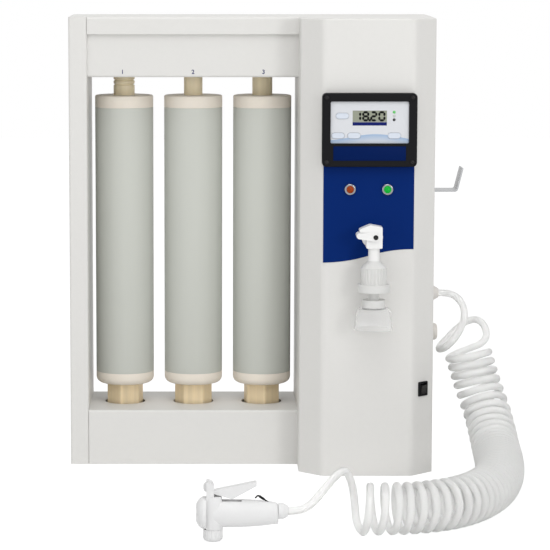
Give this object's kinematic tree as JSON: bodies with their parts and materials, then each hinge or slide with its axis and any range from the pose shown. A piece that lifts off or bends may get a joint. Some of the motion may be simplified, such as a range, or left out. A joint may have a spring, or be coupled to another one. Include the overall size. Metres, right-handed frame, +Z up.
{
  "type": "laboratory water purifier",
  "caption": "Bench-top laboratory water purifier: an open bay of cartridges, a cabinet with a meter and a filtered outlet, and a coiled hose that ends in a dispensing gun.",
  "frame": {"origin": "middle of the unit's footprint on the bench, without the proud cover, the hose and the gun", "axes": "+Z up, the front with the meter and outlet faces -Y, +X to the cabinet's side"},
  "size_m": [0.6026, 0.6325, 0.61],
  "materials": {
    "casing": "satin powder coat",
    "overlay": "smooth film",
    "black_plastic": "satin",
    "white_plastic": "smooth",
    "key_plastic": "satin",
    "display": "smooth",
    "led": "smooth",
    "steel": "brushed",
    "chrome": "polished",
    "amber": "smooth",
    "green": "smooth",
    "clear": "clear",
    "cartridge_grey": "smooth",
    "cap_cream": "smooth",
    "nut_tan": "satin",
    "rubber": "matte",
    "socket_plastic": "satin",
    "hose": "smooth",
    "gun_plastic": "satin",
    "black_wire": "satin",
    "pump_paint": "satin",
    "supply_metal": "satin",
    "board": "satin",
    "valve_brass": "satin"
  },
  "bodies": {
    "unit": {"left_upright": "casing", "header_shell": "casing", "base_shell": "casing", "base_pan": "casing", "cabinet_shell": "casing", "back_panel": "casing", "front_cover": "casing", "front_overlay": "overlay", "meter_bezel": "black_plastic", "switch_frame": "black_plastic", "mains_inlet": "black_plastic", "meter_face": "white_plastic", "outlet_valve": "white_plastic", "final_filter": "white_plastic", "hose_port": "white_plastic", "feed_port": "white_plastic", "meter_lcd": "display", "meter_leds": "led", "steel_fasteners": "steel", "hose_hook": "steel", "lamp_rings": "chrome", "amber_lens": "amber", "green_lens": "green", "filter_bell": "clear", "bay_sockets": "socket_plastic", "resistivity_cell": "socket_plastic", "hose_lead": "hose", "hose_coil": "hose", "hose_tail": "hose", "gun_body": "gun_plastic", "gun_spray_disc": "gun_plastic", "gun_hose_nut": "gun_plastic", "circulation_pump": "pump_paint", "power_supply": "supply_metal", "control_board": "board", "solenoid_valve": "valve_brass"},
    "cartridge_1": {"cartridge_1_tube": "cartridge_grey", "cartridge_1_top_cap": "cap_cream", "cartridge_1_o_rings": "rubber", "cartridge_1_low_cap": "cap_cream"},
    "union_nut_1": {"cartridge_1_union_nut": "nut_tan"},
    "cartridge_2": {"cartridge_2_tube": "cartridge_grey", "cartridge_2_top_cap": "cap_cream", "cartridge_2_o_rings": "rubber", "cartridge_2_low_cap": "cap_cream"},
    "union_nut_2": {"cartridge_2_union_nut": "nut_tan"},
    "cartridge_3": {"cartridge_3_tube": "cartridge_grey", "cartridge_3_top_cap": "cap_cream", "cartridge_3_o_rings": "rubber", "cartridge_3_low_cap": "cap_cream"},
    "union_nut_3": {"cartridge_3_union_nut": "nut_tan"},
    "outlet_lever": {"outlet_lever": "white_plastic"},
    "power_rocker": {"power_rocker": "black_plastic"},
    "meter_key_1": {"meter_key_1": "key_plastic"},
    "meter_key_2": {"meter_key_2": "key_plastic"},
    "meter_key_3": {"meter_key_3": "key_plastic"},
    "meter_key_4": {"meter_key_4": "key_plastic"},
    "gun_lever": {"gun_lever": "gun_plastic"},
    "gun_lock_wire": {"gun_lock_wire": "black_wire"},
    "gun_flow_knob": {"gun_flow_knob": "gun_plastic"}
  },
  "joints": [
    {"name": "cartridge_1_lift", "type": "slide", "parent": "unit", "child": "cartridge_1", "axis": [0, 0, 1], "range_m": [0, 0.018]},
    {"name": "union_nut_1_turn", "type": "hinge", "parent": "cartridge_1", "child": "union_nut_1", "pos_m": [-0.1725, 0, 0.078], "axis": [0, 0, 1], "continuous": true},
    {"name": "cartridge_2_lift", "type": "slide", "parent": "unit", "child": "cartridge_2", "axis": [0, 0, 1], "range_m": [0, 0.018]},
    {"name": "union_nut_2_turn", "type": "hinge", "parent": "cartridge_2", "child": "union_nut_2", "pos_m": [-0.0775, 0, 0.078], "axis": [0, 0, 1], "continuous": true},
    {"name": "cartridge_3_lift", "type": "slide", "parent": "unit", "child": "cartridge_3", "axis": [0, 0, 1], "range_m": [0, 0.018]},
    {"name": "union_nut_3_turn", "type": "hinge", "parent": "cartridge_3", "child": "union_nut_3", "pos_m": [0.0175, 0, 0.078], "axis": [0, 0, 1], "continuous": true},
    {"name": "outlet_lever_press", "type": "hinge", "parent": "unit", "child": "outlet_lever", "pos_m": [0.1615, -0.194, 0.327], "axis": [0, -1, 0], "range_deg": [0, 22], "stiffness_Nm_per_rad": 0.4, "springref_deg": -5.73},
    {"name": "rocker_tilt", "type": "hinge", "parent": "unit", "child": "power_rocker", "pos_m": [0.23, -0.141, 0.116], "axis": [0.7071, 0.7071, 0], "range_deg": [-18, 0]},
    {"name": "meter_key_1_press", "type": "slide", "parent": "unit", "child": "meter_key_1", "axis": [0, 1, 0], "range_m": [0, 0.0006], "stiffness_N_per_m": 400, "springref_m": -0.0005},
    {"name": "meter_key_2_press", "type": "slide", "parent": "unit", "child": "meter_key_2", "axis": [0, 1, 0], "range_m": [0, 0.0006], "stiffness_N_per_m": 400, "springref_m": -0.0005},
    {"name": "meter_key_3_press", "type": "slide", "parent": "unit", "child": "meter_key_3", "axis": [0, 1, 0], "range_m": [0, 0.0006], "stiffness_N_per_m": 400, "springref_m": -0.0005},
    {"name": "meter_key_4_press", "type": "slide", "parent": "unit", "child": "meter_key_4", "axis": [0, 1, 0], "range_m": [0, 0.0006], "stiffness_N_per_m": 400, "springref_m": -0.0005},
    {"name": "gun_lever_squeeze", "type": "hinge", "parent": "unit", "child": "gun_lever", "pos_m": [-0.058, -0.534, 0.0653], "axis": [0, 1, 0], "range_deg": [0, 10], "stiffness_Nm_per_rad": 1, "springref_deg": -11.46},
    {"name": "lock_wire_swing", "type": "hinge", "parent": "unit", "child": "gun_lock_wire", "pos_m": [0.017, -0.534, 0.0448], "axis": [0, 1, 0], "range_deg": [0, 70]},
    {"name": "flow_knob_turn", "type": "hinge", "parent": "unit", "child": "gun_flow_knob", "pos_m": [-0.052, -0.534, 0.007], "axis": [0, 0, 1], "range_deg": [0, 270]}
  ]
}
